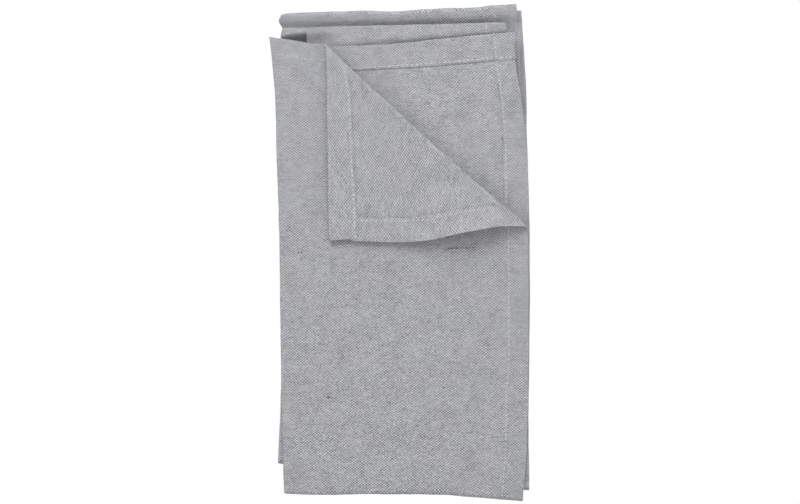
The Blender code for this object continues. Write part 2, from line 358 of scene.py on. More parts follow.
def woven_place(across, along):
    """Where a point of the even grid lies in the cloth, across and along, as its hems wander."""
    side_hem = (SIDE_HEM_A, SIDE_A_LANE) if across < 0 else (SIDE_HEM_B, SIDE_B_LANE)
    inward = drawn(HALF_WIDTH - abs(across), strayed_width(*side_hem, along))
    new_across = math.copysign(HALF_WIDTH - inward, across)
    if along > HEM_WIDTH + HEM_FADE:
        return new_across, along
    return new_across, drawn(along, strayed_width(END_HEM, END_LANE, across))


def cloth_point(row, across, off):
    """A point of the pack before its corner is turned: off is positive towards the face side."""
    across, along = woven_place(across, row.along)
    slide = (row.along - along) * row.normal_z
    radius = PLY_REACH + off
    if abs(across) >= HAIRPIN_HALF:
        reach = HAIRPIN_CENTRE + abs(across) - HAIRPIN_HALF
        height = radius if across < 0 else -radius
    else:
        turn = across / PLY_REACH
        reach = HAIRPIN_CENTRE - radius * math.cos(turn)
        height = -radius * math.sin(turn)
    share = reach / REACH
    line = row.line
    right_x, right_y = (line.a_x, line.a_y) if across < 0 else (line.b_x, line.b_y)
    x = line.left_x + (right_x - line.left_x) * share
    y = line.left_y + (right_y - line.left_y) * share + bowed(line, share) + slide
    return Vector((x, y + height * row.normal_y, row.height + height * row.normal_z))


# Turned corner: the two ends of its crease, the crease's roundness, how the flap lies on the ply below, and
# where its lower edge lifts off.
CREASE_TOP = Vector((-0.0610, 0.1672))
CREASE_SIDE = Vector((0.1028, 0.0191))
CREASE_RADIUS = 0.0026
CREASE_STEPS = 10
CREASE_HALF = 0.0005
FLAP_REST = 0.0037
FLAP_SETTLE = 0.012
LIFT_PLACE = Vector((0.060, 0.008))
LIFT_HEIGHT = 0.0125
LIFT_LENGTH = 0.036
LIFT_DEPTH = 0.022
TURNED_ALONG = 0.19
CREASE_ALONG = (CREASE_SIDE - CREASE_TOP).normalized()
CREASE_BEYOND = Vector((-CREASE_ALONG.y, CREASE_ALONG.x))
CREASE_START = CREASE_TOP - CREASE_BEYOND * (CREASE_RADIUS + CREASE_HALF)


def flap_height(place, from_crease):
    """Height of the flap's middle over the middle of the ply that it lies on."""
    crease = (2 * CREASE_RADIUS - FLAP_REST) * math.exp(-from_crease / FLAP_SETTLE)
    off = place - LIFT_PLACE
    lift = LIFT_HEIGHT * math.exp(-((off.x / LIFT_LENGTH) ** 2) - (off.y / LIFT_DEPTH) ** 2)
    return FLAP_REST + crease + lift * smooth(from_crease / FLAP_SETTLE)


def turned(point):
    """A point of the top ply, after the corner beyond the crease is laid back over the pack."""
    flat = Vector((point.x, point.y))
    past = (flat - CREASE_START).dot(CREASE_BEYOND)
    if past <= 0:
        return point
    middle = TOP_LEVEL + PLY_REACH
    off = point.z - middle
    foot = flat - CREASE_BEYOND * past
    bend = math.pi * CREASE_RADIUS
    if past < bend:
        turn = past / CREASE_RADIUS
        place = foot + CREASE_BEYOND * (CREASE_RADIUS - off) * math.sin(turn)
        height = middle + CREASE_RADIUS - (CREASE_RADIUS - off) * math.cos(turn)
    else:
        place = foot - CREASE_BEYOND * (past - bend)
        height = middle + flap_height(place, past - bend) - off
    return Vector((place.x, place.y, height))


# Uneven loft: places where the layers lie looser (a share more height) or closer (less) than elsewhere
Swell = namedtuple("Swell", "x y reach_x reach_y share")
SWELLS = [
    Swell(-0.085, -0.030, 0.030, 0.130, 0.05),
    Swell(0.000, -0.175, 0.090, 0.035, 0.05),
    Swell(0.015, -0.060, 0.055, 0.080, -0.06),
    Swell(0.095, -0.100, 0.022, 0.090, 0.04),
    Swell(-0.070, 0.150, 0.040, 0.040, -0.04),
    Swell(0.040, 0.165, 0.060, 0.025, 0.03),
    Swell(0.105, 0.120, 0.011, 0.055, -0.18),
]

# Dips: where the layers up to some height sink away, as in the dark pocket beside the long fold, or stand
# higher (a depth under 0), as along the top fold. Each has a slope in y along x, and its own reach to the
# left, right, up and down.
Dip = namedtuple("Dip", "x y slope left right up down depth top")
DIPS = [
    Dip(-0.0700, 0.1705, 0.00, 0.0060, 0.0120, 0.0048, 0.0100, 0.62, 0.0100),
    Dip(0.0200, 0.1705, 0.08, 0.0850, 0.3000, 0.0018, 0.0150, 0.25, 0.0100),
    Dip(0.0190, 0.0950, -0.904, 0.3000, 0.3000, 0.0085, 0.0060, 0.13, 0.0121),
    Dip(0.0000, 0.1960, 0.02, 0.3000, 0.3000, 0.0100, 0.0045, -0.06, 0.0067),
    Dip(0.0000, 0.1828, 0.02, 0.3000, 0.3000, 0.0046, 0.0100, 0.58, 0.0067),
    Dip(0.0650, 0.1842, 0.02, 0.0350, 0.0180, 0.0040, 0.0100, 0.20, 0.0067),
    Dip(0.0880, 0.1798, 0.00, 0.0030, 0.0044, 0.0034, 0.0120, 0.93, 0.0067),
    Dip(0.0950, 0.0290, -0.904, 0.0250, 0.3000, 0.0120, 0.0060, 0.13, 0.0121),
    Dip(0.0945, 0.1500, -0.05, 0.0030, 0.0012, 0.0450, 0.0450, 0.18, 0.0067),
    Dip(0.0981, 0.1550, 0.00, 0.0010, 0.0007, 0.0300, 0.0350, 0.65, 0.0050),
]
DIP_EDGE = 0.0004

# The pocket, a wedge between the top panel's edge and the rolled layer beyond it: where it opens and ends,
# its far side at both, its depth, how soon it is reached, how steep its sides are, and the height under
# which it lies
POCKET_OPENS = Vector((-0.0965, 0.1724))
POCKET_ENDS = Vector((-0.0757, 0.1760))
POCKET_DEPTH = 0.93
POCKET_RISE = 1.5
POCKET_START = 0.25
POCKET_SIDE = 0.0010
POCKET_SLOPE = 0.0024
POCKET_NEAR = 0.1580
POCKET_NEAR_SLOPE = 0.006
POCKET_TOP = 0.0100

# Nudges: small pulls of the cloth between two heights, such as a fold's bulging end
Nudge = namedtuple("Nudge", "x y left right reach_y low high move_x move_y")
NUDGES = [
    Nudge(-0.0975, 0.1870, 0.0060, 0.0060, 0.0035, 0.0000, 0.0075, -0.0014, 0.0),
    Nudge(-0.0967, 0.1950, 0.0040, 0.0040, 0.0030, 0.0000, 0.0075, 0.0010, -0.0012),
    Nudge(-0.0967, 0.1810, 0.0050, 0.0050, 0.0030, 0.0000, 0.0068, 0.0015, 0.0),
    Nudge(-0.0040, 0.1970, 0.0200, 0.0300, 0.0120, 0.0000, 0.0075, 0.0, -0.0018),
    Nudge(0.0640, 0.1990, 0.0300, 0.0060, 0.0120, 0.0000, 0.0075, 0.0, -0.0013),
    Nudge(-0.0100, 0.1650, 0.0450, 0.0550, 0.0300, 0.0105, 0.0121, 0.0, -0.0027),
    Nudge(0.0130, 0.0140, 0.0600, 0.0300, 0.0600, 0.0148, 0.0400, 0.0, -0.0060),
    Nudge(0.0800, 0.0180, 0.0160, 0.0160, 0.0200, 0.0148, 0.0400, 0.0, 0.0020),
    Nudge(-0.1050, 0.1725, 0.0022, 0.0022, 0.0022, 0.0110, 0.0200, -0.0004, 0.0012),
    Nudge(-0.0970, 0.1815, 0.0030, 0.0030, 0.0030, 0.0075, 0.0100, 0.0012, -0.0008),
    Nudge(-0.0700, -0.1950, 0.0160, 0.0300, 0.0100, 0.0000, 0.0200, 0.0, -0.0006),
    Nudge(-0.0400, 0.0095, 0.0090, 0.0012, 0.0050, 0.0148, 0.0400, 0.0, 0.0018),
]
NUDGE_EDGE = 0.0006

# Small unevenness that the weave and the washing leave: wave length and height of each size of wave
WAVES = [(0.048, 0.0120), (0.019, 0.0045), (0.009, 0.0018)]
EDGE_WAVES = [(0.016, 0.00038), (0.0055, 0.00014)]
EDGE_LEVEL = 0.0030
EDGE_LANE = Vector((31.7, 12.3, 5.1))
WAVE_LANE = 3.7


def pocket(x, y):
    """How deep the layers sink into the pocket here, as a share of their height."""
    share = (x - POCKET_OPENS.x) / (POCKET_ENDS.x - POCKET_OPENS.x)
    far = POCKET_OPENS.y + (POCKET_ENDS.y - POCKET_OPENS.y) * share
    ends = smooth(share * POCKET_RISE + POCKET_START) * smooth((POCKET_ENDS.x - x) / POCKET_SIDE + 0.5)
    near = smooth((y - POCKET_NEAR) / POCKET_NEAR_SLOPE)
    return POCKET_DEPTH * ends * smooth((far - y) / POCKET_SLOPE + 0.5) * near


def laid(point):
    """A point of the pack as the cloth settles: dips, the pocket, nudges, waves and loft."""
    x, y, z = point
    z *= 1 - pocket(x, y) * (1 - smooth((point.z - POCKET_TOP) / DIP_EDGE + 0.5))
    for dip in DIPS:
        reach_x = dip.left if x < dip.x else dip.right
        middle_y = dip.y + dip.slope * (x - dip.x)
        reach_y = dip.up if y > middle_y else dip.down
        sink = dip.depth * bump_at(x, dip.x, reach_x) * bump_at(y, middle_y, reach_y)
        z *= 1 - sink * (1 - smooth((point.z - dip.top) / DIP_EDGE + 0.5))
    shift_x = shift_y = 0.0
    for nudge in NUDGES:
        above = smooth((point.z - nudge.low) / NUDGE_EDGE + 1)
        below = smooth((nudge.high - point.z) / NUDGE_EDGE + 1)
        reach_x = nudge.left if x < nudge.x else nudge.right
        share = above * below * bump_at(x, nudge.x, reach_x) * bump_at(y, nudge.y, nudge.reach_y)
        shift_x += nudge.move_x * share
        shift_y += nudge.move_y * share
    for length, height in EDGE_WAVES:
        place = Vector((x / length, y / length, point.z / EDGE_LEVEL))
        shift_x += height * noise.noise(place)
        shift_y += height * noise.noise(place + EDGE_LANE)
    loft = 1.0
    for s in SWELLS:
        loft += s.share * bump_at(x, s.x, s.reach_x) * bump_at(y, s.y, s.reach_y)
    for length, share in WAVES:
        loft += share * noise.noise(Vector((x / length, y / length, WAVE_LANE)))
    return Vector((x + shift_x, y + shift_y, z * loft))


def sheet_mesh(rows, places):
    """The hemmed sheet as one closed body, folded, with across and along kept on its points."""
    bm = bmesh.new()
    across_of = bm.verts.layers.float.new("across")
    along_of = bm.verts.layers.float.new("along")
    cloth_length = rows[-1].along
    grids = [[], []]
    for row in rows:
        made = [[], []]
        for across in places:
            for side, off in enumerate(faces_off(across, row.along, cloth_length)):
                vert = bm.verts.new(cloth_point(row, across, off))
                vert[across_of], vert[along_of] = woven_place(across, row.along)
                made[side].append(vert)
        for grid, line in zip(grids, made):
            grid.append(line)
    face, wrong = grids
    last_row, last_column = len(rows) - 1, len(places) - 1
    for i in range(last_row):
        for j in range(last_column):
            bm.faces.new((face[i][j], face[i][j + 1], face[i + 1][j + 1], face[i + 1][j]))
            bm.faces.new((wrong[i][j], wrong[i + 1][j], wrong[i + 1][j + 1], wrong[i][j + 1]))
    for i in range(last_row):
        for j in (0, last_column):
            bm.faces.new((face[i][j], face[i + 1][j], wrong[i + 1][j], wrong[i][j]))
    for j in range(last_column):
        for i in (0, last_row):
            bm.faces.new((face[i][j], face[i][j + 1], wrong[i][j + 1], wrong[i][j]))
    return bm


def crease_corner(bm):
    """Cuts the top ply along the crease, so that it bends on its own edges, and turns the corner down."""
    across_of = bm.verts.layers.float["across"]
    along_of = bm.verts.layers.float["along"]
    bend = math.pi * CREASE_RADIUS
    for k in range(CREASE_STEPS + 1):
        verts = [v for v in bm.verts if v[across_of] < -HAIRPIN_HALF and v[along_of] < TURNED_ALONG]
        inside = set(verts)
        faces = {f for v in verts for f in v.link_faces if all(c in inside for c in f.verts)}
        edges = {e for f in faces for e in f.edges}
        cut = CREASE_START + CREASE_BEYOND * (bend * k / CREASE_STEPS)
        bmesh.ops.bisect_plane(
            bm,
            geom=[*verts, *edges, *faces],
            dist=1e-7,
            plane_co=(cut.x, cut.y, 0.0),
            plane_no=(CREASE_BEYOND.x, CREASE_BEYOND.y, 0.0),
        )
    for v in bm.verts:
        if v[across_of] < -HAIRPIN_HALF and v[along_of] < TURNED_ALONG:
            v.co = turned(v.co)
        v.co = laid(v.co)


def unwrap(bm):
    """The cloth's own coordinates in metres, as the UV map that the weave follows."""
    across_of = bm.verts.layers.float["across"]
    along_of = bm.verts.layers.float["along"]
    uv = bm.loops.layers.uv.new("cloth")
    for face in bm.faces:
        for loop in face.loops:
            loop[uv].uv = (loop.vert[across_of], loop.vert[along_of])


rows = serpentine()
cloth_length = rows[-1].along
cloth = sheet_mesh(rows, columns())
crease_corner(cloth)
unwrap(cloth)
bmesh.ops.recalc_face_normals(cloth, faces=cloth.faces)
runner_mesh = bpy.data.meshes.new("folded_runner")
cloth.to_mesh(runner_mesh)
cloth.free()
runner_mesh.shade_smooth()
runner = bpy.data.objects.new("folded_runner", runner_mesh)
bpy.context.scene.collection.objects.link(runner)


# Weave of the cloth
# Two warp threads cross over two weft threads at a time. The warp is the lighter yarn, the weft darker and
# uneven, with thick places, and both are spun from fibres of several greys.
# The shade between the threads is painted into their tone.
WARP_PITCH = 0.00066
WEFT_PITCH = 0.00052
WARP_TONE = 0.598
WEFT_TONE = 0.261
YARN_UNEVENNESS = 0.48
STREAKS = 0.20
STREAK_SCALE = (75.0, 900.0)
SLUB_DARKNESS = 0.18
SLUB_FREQUENCY = 130.0
SLUB_STARTS = 0.68
SLUB_FULL = 0.77
# Painted shade between the threads: how much darker each thread is painted towards its sides, and the mean
# darkening
THREAD_SHADE_DEPTH = 0.12
THREAD_SHADE_MEAN = 0.08
MOTTLE = 0.12
MOTTLE_SCALE = 50.0
TINT_SCALE = 28.0
WARM_TINT = (0.948, 0.942, 0.993)
COOL_TINT = (0.924, 0.953, 1.000)
WEAVE_RELIEF = 0.0002
WEAVE_RELIEF_SHARE = 0.6

# How far the threads wander, how often the fibres in each change, and how far apart two threads are in the
# noise that sets their tone
WANDER_SCALE = 60.0
WEFT_WANDER_PLACE = (0.37, 0.91, 0.0)
WARP_WANDER = 0.0022
WEFT_WANDER = 0.0018
WARP_FIBRES = 330.0
WEFT_FIBRES = 270.0
WARP_STEP = 1.37
WEFT_STEP = 1.71
SLUB_STEP = 1.13


def feed(tree, sockets, values):
    """Gives each socket its value, or the link that it takes."""
    for socket, value in zip(sockets, values):
        if isinstance(value, (int, float)):
            socket.default_value = value
        else:
            tree.links.new(value, socket)


def math_node(tree, operation, *values):
    """A Math node with these values or links on its inputs, and its result."""
    node = tree.nodes.new("ShaderNodeMath")
    node.operation = operation
    feed(tree, node.inputs, values)
    return node.outputs[0]


def combine(tree, x, y, z):
    """A vector of these three values or links."""
    node = tree.nodes.new("ShaderNodeCombineXYZ")
    feed(tree, node.inputs, (x, y, z))
    return node.outputs[0]


def cloud(tree, place, scale, detail=2.0, roughness=0.5):
    """Soft noise about 0.5 at this place."""
    node = tree.nodes.new("ShaderNodeTexNoise")
    node.inputs["Scale"].default_value = scale
    node.inputs["Detail"].default_value = detail
    node.inputs["Roughness"].default_value = roughness
    tree.links.new(place, node.inputs["Vector"])
    return node.outputs["Fac"]


def blend(tree, factor, first, second):
    """first where the factor is 0, second where it is 1."""
    node = tree.nodes.new("ShaderNodeMix")
    node.clamp_factor = True
    feed(tree, (node.inputs[0], node.inputs[2], node.inputs[3]), (factor, first, second))
    return node.outputs[0]


def two_colours(tree, amount, first, second):
    """From one colour to another, each given with the amount at which it is reached."""
    ramp = tree.nodes.new("ShaderNodeValToRGB")
    for stop, (place, colour) in zip(ramp.color_ramp.elements, (first, second)):
        stop.position = place
        stop.color = (*colour, 1.0)
    tree.links.new(amount, ramp.inputs["Fac"])
    return ramp.outputs["Color"]


def matt_material(name, roughness, specular):
    """A new material of this roughness and shine, with its node tree and its shader."""
    material = bpy.data.materials.new(name)
    material.use_nodes = True
    shader = material.node_tree.nodes["Principled BSDF"]
    shader.inputs["Roughness"].default_value = roughness
    shader.inputs["Specular IOR Level"].default_value = specular
    return material, material.node_tree, shader


def basket_weave_group():
    """Node group: from the cloth's own coordinates to the tone and the height of its threads, the tone
    painted darker towards each thread's sides as shade between the threads.
    """
    tree = bpy.data.node_groups.new("basket_weave", "ShaderNodeTree")
    face = tree.interface
    face.new_socket("Cloth Place", in_out="INPUT", socket_type="NodeSocketVector")
    for name, value in (
        ("Warp Pitch", WARP_PITCH),
        ("Weft Pitch", WEFT_PITCH),
        ("Warp Tone", WARP_TONE),
        ("Weft Tone", WEFT_TONE),
        ("Yarn Unevenness", YARN_UNEVENNESS),
        ("Streaks", STREAKS),
        ("Slubs", SLUB_DARKNESS),
    ):
        face.new_socket(name, in_out="INPUT", socket_type="NodeSocketFloat").default_value = value
    face.new_socket("Tone", in_out="OUTPUT", socket_type="NodeSocketFloat")
    face.new_socket("Height", in_out="OUTPUT", socket_type="NodeSocketFloat")
    given = tree.nodes.new("NodeGroupInput").outputs
    result = tree.nodes.new("NodeGroupOutput").inputs

    split = tree.nodes.new("ShaderNodeSeparateXYZ")
    tree.links.new(given["Cloth Place"], split.inputs[0])
    wander_u = math_node(tree, "SUBTRACT", cloud(tree, given["Cloth Place"], WANDER_SCALE, detail=3.0), 0.5)
    shifted = tree.nodes.new("ShaderNodeVectorMath")
    shifted.operation = "ADD"
    shifted.inputs[1].default_value = WEFT_WANDER_PLACE
    tree.links.new(given["Cloth Place"], shifted.inputs[0])
    wander_v = math_node(tree, "SUBTRACT", cloud(tree, shifted.outputs[0], WANDER_SCALE, detail=3.0), 0.5)
    u = math_node(tree, "MULTIPLY_ADD", wander_u, WARP_WANDER, split.outputs["X"])
    v = math_node(tree, "MULTIPLY_ADD", wander_v, WEFT_WANDER, split.outputs["Y"])

    warp_place = math_node(tree, "DIVIDE", u, given["Warp Pitch"])
    weft_place = math_node(tree, "DIVIDE", v, given["Weft Pitch"])
    warp_number = math_node(tree, "FLOOR", warp_place)
    weft_number = math_node(tree, "FLOOR", weft_place)
    warp_pair = math_node(tree, "FLOOR", math_node(tree, "MULTIPLY", warp_number, 0.5))
    weft_pair = math_node(tree, "FLOOR", math_node(tree, "MULTIPLY", weft_number, 0.5))
    pair_sum = math_node(tree, "ADD", warp_pair, weft_pair)
    warp_up = math_node(tree, "LESS_THAN", math_node(tree, "FLOORED_MODULO", pair_sum, 2.0), 0.5)

    def crown(place):
        """1 along the middle of a thread and 0 at its sides."""
        off = math_node(tree, "MULTIPLY_ADD", math_node(tree, "FRACT", place), 2.0, -1.0)
        return math_node(tree, "SUBTRACT", 1.0, math_node(tree, "MULTIPLY", off, off))

    warp_crown = crown(warp_place)
    weft_crown = crown(weft_place)

    def thread_noise(x, x_scale, y, y_scale, layer, roughness=0.5):
        """Noise that runs on along the threads, from a layer of its own."""
        x_place = math_node(tree, "MULTIPLY", x, x_scale)
        y_place = math_node(tree, "MULTIPLY", y, y_scale)
        place = combine(tree, x_place, y_place, layer)
        return cloud(tree, place, scale=1.0, detail=1.0, roughness=roughness)

    warp_yarn = thread_noise(warp_number, WARP_STEP, v, WARP_FIBRES, layer=7.0, roughness=0.7)
    weft_yarn = thread_noise(u, WEFT_FIBRES, weft_number, WEFT_STEP, layer=19.0, roughness=0.7)
    streak = thread_noise(u, STREAK_SCALE[0], v, STREAK_SCALE[1], layer=29.0, roughness=0.6)
    slub_field = thread_noise(u, SLUB_FREQUENCY, weft_number, SLUB_STEP, layer=41.0)
    slub = tree.nodes.new("ShaderNodeMapRange")
    slub.interpolation_type = "SMOOTHSTEP"
    slub.inputs["From Min"].default_value = SLUB_STARTS
    slub.inputs["From Max"].default_value = SLUB_FULL
    tree.links.new(slub_field, slub.inputs["Value"])

    def yarn_tone(tone, yarn):
        """The yarn's own tone, moved by its mixed fibres."""
        off = math_node(tree, "SUBTRACT", yarn, 0.5)
        spread_by = math_node(tree, "MULTIPLY", off, given["Yarn Unevenness"])
        return math_node(tree, "MULTIPLY_ADD", spread_by, 2.0, tone)

    warp_tone = yarn_tone(given["Warp Tone"], warp_yarn)
    weft_tone = yarn_tone(given["Weft Tone"], weft_yarn)
    weft_dark = math_node(tree, "MULTIPLY", slub.outputs["Result"], given["Slubs"])
    weft_tone = math_node(tree, "SUBTRACT", weft_tone, weft_dark)
    tone = blend(tree, warp_up, weft_tone, warp_tone)
    off = math_node(tree, "SUBTRACT", streak, 0.5)
    tone = math_node(tree, "MULTIPLY_ADD", off, given["Streaks"], tone)
    height = blend(tree, warp_up, weft_crown, warp_crown)
    # Painted shade: the tone falls off towards each thread's sides, where shade lies between the threads
    painted_thread_shade = math_node(tree, "MULTIPLY_ADD", height, THREAD_SHADE_DEPTH, -THREAD_SHADE_MEAN)
    tree.links.new(math_node(tree, "ADD", tone, painted_thread_shade), result["Tone"])
    tree.links.new(height, result["Height"])
    return tree


def cloth_material():
    """Grey melange linen and cotton: matt, with a faint sheen of loose fibres."""
    material, tree, shader = matt_material("linen_cloth", roughness=0.9, specular=0.25)
    shader.inputs["Sheen Weight"].default_value = 0.12
    shader.inputs["Sheen Roughness"].default_value = 0.5
    uv = tree.nodes.new("ShaderNodeUVMap")
    uv.uv_map = "cloth"
    weave = tree.nodes.new("ShaderNodeGroup")
    weave.node_tree = basket_weave_group()
    tree.links.new(uv.outputs["UV"], weave.inputs["Cloth Place"])
    mottle = cloud(tree, uv.outputs["UV"], MOTTLE_SCALE)
    off = math_node(tree, "SUBTRACT", mottle, 0.5)
    tone = math_node(tree, "MULTIPLY_ADD", off, MOTTLE, weave.outputs["Tone"])
    tint_cloud = cloud(tree, uv.outputs["UV"], TINT_SCALE, detail=1.0)
    tint = two_colours(tree, tint_cloud, (0.35, WARM_TINT), (0.65, COOL_TINT))
    coloured = tree.nodes.new("ShaderNodeVectorMath")
    coloured.operation = "SCALE"
    tree.links.new(tint, coloured.inputs[0])
    tree.links.new(math_node(tree, "MAXIMUM", tone, 0.02), coloured.inputs["Scale"])
    tree.links.new(coloured.outputs["Vector"], shader.inputs["Base Color"])
    bump = tree.nodes.new("ShaderNodeBump")
    bump.inputs["Strength"].default_value = WEAVE_RELIEF_SHARE
    bump.inputs["Distance"].default_value = WEAVE_RELIEF
    tree.links.new(weave.outputs["Height"], bump.inputs["Height"])
    tree.links.new(bump.outputs["Normal"], shader.inputs["Normal"])
    return material


runner_mesh.materials.append(cloth_material())


# Hem stitches
# A lockstitch in a thread lighter than the cloth holds each hem, 18 mm from the edge. Each stitch shows on
# both sides of the cloth and is pressed half into it.
STITCH_PITCH = 0.0038
STITCH_LENGTH = 0.0025
THREAD_WIDTH = 0.00100
THREAD_HEIGHT = 0.00064
LOWEST_STITCH = 0.6 * THREAD_HEIGHT
LEAST_STITCH = (0.65, 0.70, 0.75)
MOST_STITCH = (1.20, 1.30, 1.15)
STITCH_SEED = 11
THREAD_DARK = (0.52, 0.52, 0.53)
THREAD_LIGHT = (0.78, 0.78, 0.79)
THREAD_FLECKS = 900.0


def settled(row, across, off):
    """A point of the finished pack, from the cloth's own coordinates."""
    point = cloth_point(row, across, off)
    if across < -HAIRPIN_HALF and row.along < TURNED_ALONG:
        point = turned(point)
    return laid(point)


def line_mesh(name, verts, edges, outs):
    """A mesh of edges that carries the way out of the cloth at each of its points."""
    mesh = bpy.data.meshes.new(name)
    mesh.from_pydata(verts, edges, [])
    out_of = mesh.attributes.new("out", "FLOAT_VECTOR", "POINT")
    out_of.data.foreach_set("vector", [value for way in outs for value in way])
    return mesh


def stitch_line(stops, on_face):
    """The points of one stitch line, and the way out of the cloth at each."""
    points, ways = [], []
    for row, across in stops:
        face_off, wrong_off = faces_off(across, row.along, cloth_length)
        face = settled(row, across, face_off)
        wrong = settled(row, across, wrong_off)
        out = (face - wrong).normalized()
        face.z = max(face.z, LOWEST_STITCH)
        points.append(face if on_face else wrong)
        ways.append(out if on_face else -out)
    return points, ways


def stitch_lines(on_face):
    """All four stitch lines, as one mesh of edges that carries the way out of the cloth."""
    inset = HALF_WIDTH - STITCH_INSET
    across_places = spread(-HALF_WIDTH, HALF_WIDTH, STITCH_PITCH)
    first_end = min(rows, key=lambda row: abs(row.along - STITCH_INSET))
    last_end = min(rows, key=lambda row: abs(cloth_length - row.along - STITCH_INSET))
    past_end_hem = [row for row in rows if row.along > HEM_WIDTH]
    runs = [[(row, -inset) for row in past_end_hem], [(row, inset) for row in rows]]
    runs += [[(row, across) for across in across_places] for row in (first_end, last_end)]
    verts, edges, outs = [], [], []
    for stops in runs:
        points, ways = stitch_line(stops, on_face)
        start = len(verts)
        verts += points
        outs += ways
        edges += [(start + k, start + k + 1) for k in range(len(points) - 1)]
    return line_mesh("stitch_lines", verts, edges, outs)


def stitch_tree():
    """Geometry nodes: a flat oval stitch at each pitch along the lines, lying on the cloth."""
    tree = bpy.data.node_groups.new("hem_stitches", "GeometryNodeTree")
    face = tree.interface
    face.new_socket("Lines", in_out="INPUT", socket_type="NodeSocketGeometry")
    for name, value in (
        ("Pitch", STITCH_PITCH),
        ("Length", STITCH_LENGTH),
        ("Width", THREAD_WIDTH),
        ("Height", THREAD_HEIGHT),
    ):
        face.new_socket(name, in_out="INPUT", socket_type="NodeSocketFloat").default_value = value
    face.new_socket("Thread", in_out="INPUT", socket_type="NodeSocketMaterial")
    face.new_socket("Stitches", in_out="OUTPUT", socket_type="NodeSocketGeometry")
    nodes, links = tree.nodes, tree.links
    given = nodes.new("NodeGroupInput").outputs
    result = nodes.new("NodeGroupOutput").inputs

    curve = nodes.new("GeometryNodeMeshToCurve")
    links.new(given["Lines"], curve.inputs["Mesh"])
    even = nodes.new("GeometryNodeResampleCurve")
    even.mode = "LENGTH"
    links.new(curve.outputs["Curve"], even.inputs["Curve"])
    links.new(given["Pitch"], even.inputs["Length"])

    oval = nodes.new("GeometryNodeMeshUVSphere")
    oval.inputs["Segments"].default_value = 8
    oval.inputs["Rings"].default_value = 4
    oval.inputs["Radius"].default_value = 0.5
    flat = nodes.new("ShaderNodeCombineXYZ")
    for name, socket in zip(("Length", "Width", "Height"), flat.inputs):
        links.new(given[name], socket)
    shaped = nodes.new("GeometryNodeTransform")
    links.new(oval.outputs["Mesh"], shaped.inputs["Geometry"])
    links.new(flat.outputs[0], shaped.inputs["Scale"])
    rounded = nodes.new("GeometryNodeSetShadeSmooth")
    links.new(shaped.outputs["Geometry"], rounded.inputs["Geometry"])

    out_of = nodes.new("GeometryNodeInputNamedAttribute")
    out_of.data_type = "FLOAT_VECTOR"
    out_of.inputs["Name"].default_value = "out"
    heading = nodes.new("GeometryNodeInputTangent")
    aimed = nodes.new("FunctionNodeAxesToRotation")
    aimed.primary_axis = "Z"
    aimed.secondary_axis = "X"
    links.new(out_of.outputs["Attribute"], aimed.inputs["Primary Axis"])
    links.new(heading.outputs["Tangent"], aimed.inputs["Secondary Axis"])

    varied = nodes.new("FunctionNodeRandomValue")
    varied.data_type = "FLOAT_VECTOR"
    varied.inputs["Min"].default_value = LEAST_STITCH
    varied.inputs["Max"].default_value = MOST_STITCH
    varied.inputs["Seed"].default_value = STITCH_SEED
    placed = nodes.new("GeometryNodeInstanceOnPoints")
    links.new(even.outputs["Curve"], placed.inputs["Points"])
    links.new(rounded.outputs["Geometry"], placed.inputs["Instance"])
    links.new(aimed.outputs["Rotation"], placed.inputs["Rotation"])
    links.new(varied.outputs["Value"], placed.inputs["Scale"])
    real = nodes.new("GeometryNodeRealizeInstances")
    links.new(placed.outputs["Instances"], real.inputs["Geometry"])
    finished = nodes.new("GeometryNodeSetMaterial")
    links.new(real.outputs["Geometry"], finished.inputs["Geometry"])
    links.new(given["Thread"], finished.inputs["Material"])
    links.new(finished.outputs["Geometry"], result["Stitches"])
    return tree


def thread_material():
    """Pale grey cotton sewing thread."""
    material, tree, shader = matt_material("sewing_thread", roughness=0.75, specular=0.3)
    place = tree.nodes.new("ShaderNodeTexCoord").outputs["Object"]
    flecks = cloud(tree, place, THREAD_FLECKS)
    colour = two_colours(tree, flecks, (0.3, THREAD_DARK), (0.7, THREAD_LIGHT))
    tree.links.new(colour, shader.inputs["Base Color"])
    return material


def made_by(tree, mesh, name, **inputs):
    """The plain mesh that the tree makes from this mesh, as a new object."""
    maker = bpy.data.objects.new(name + "_maker", mesh)
    bpy.context.scene.collection.objects.link(maker)
    modifier = maker.modifiers.new("maker", "NODES")
    modifier.node_group = tree
    for item in tree.interface.items_tree:
        if item.item_type == "SOCKET" and item.name in inputs:
            modifier[item.identifier] = inputs[item.name]
    seen = maker.evaluated_get(bpy.context.evaluated_depsgraph_get())
    result = bpy.data.meshes.new_from_object(seen)
    result.name = name
    bpy.data.objects.remove(maker)
    bpy.data.meshes.remove(mesh)
    piece = bpy.data.objects.new(name, result)
    bpy.context.scene.collection.objects.link(piece)
    return piece


stitching = stitch_tree()
thread = thread_material()
face_stitches = made_by(stitching, stitch_lines(True), "face_stitches", Thread=thread)
back_stitches = made_by(stitching, stitch_lines(False), "back_stitches", Thread=thread)


# Slubs
# Thick places in the weft yarn, spun darker than the rest, that stand out of the weave here and there.
# Each is given by its place on the pack seen from above, its direction and its length.
Slub = namedtuple("Slub", "x y turn length")
SLUBS = [
    Slub(0.0395, 0.0030, 1.5, 0.0210),
    Slub(-0.0815, -0.0002, 0.0, 0.0022),
    Slub(-0.0890, -0.0690, -4.0, 0.0052),
    Slub(-0.0580, -0.1172, 20.0, 0.0014),
    Slub(0.0350, -0.1095, 10.0, 0.0014),
    Slub(0.0103, 0.0985, -70.0, 0.0030),
    Slub(-0.0455, 0.0570, 60.0, 0.0012),
    Slub(0.0670, 0.1085, -10.0, 0.0022),
    Slub(0.0824, 0.0912, 80.0, 0.0014),
    Slub(-0.0868, 0.1150, 5.0, 0.0026),
    Slub(0.0212, 0.1200, 0.0, 0.0022),
]
SLUB_PITCH = 0.0019
SLUB_LENGTH = 0.0013
SLUB_WIDTH = 0.00110
SLUB_HEIGHT = 0.00060
SLUB_DARK = (0.022, 0.021, 0.020)
SLUB_LIGHT = (0.110, 0.106, 0.106)
SLUB_FLECKS = 1200.0


